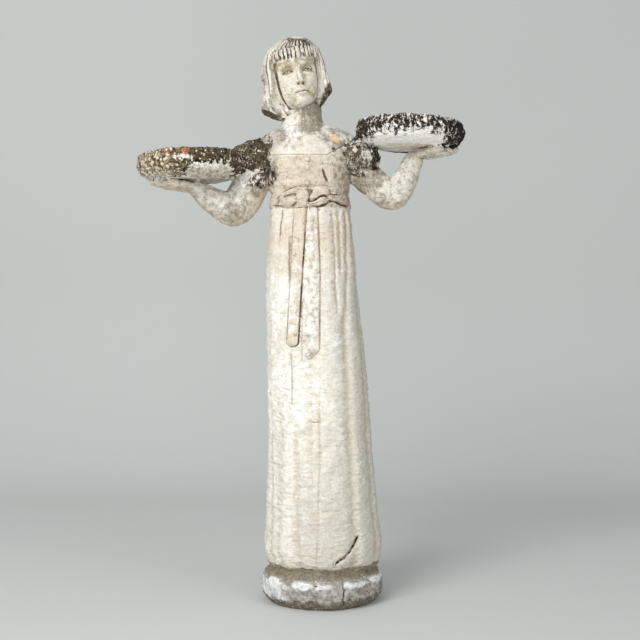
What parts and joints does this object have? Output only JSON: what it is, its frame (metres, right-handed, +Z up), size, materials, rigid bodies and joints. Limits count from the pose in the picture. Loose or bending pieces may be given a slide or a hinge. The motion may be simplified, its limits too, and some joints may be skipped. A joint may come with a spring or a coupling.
{
  "type": "classical garden statue",
  "caption": "Cast-stone garden statue of a standing girl in a long sashed gown, on a low round base, holding up an open round bowl on each hand.",
  "frame": {"origin": "centre of the base's flat underside", "axes": "+Z up along the figure, -Y the way it faces, +X towards its left hand"},
  "size_m": [0.7039, 0.2561, 1.216],
  "materials": {
    "stone": "rough, weathered, with lichen"
  },
  "bodies": {
    "root": {"statue": "stone"}
  },
  "joints": []
}
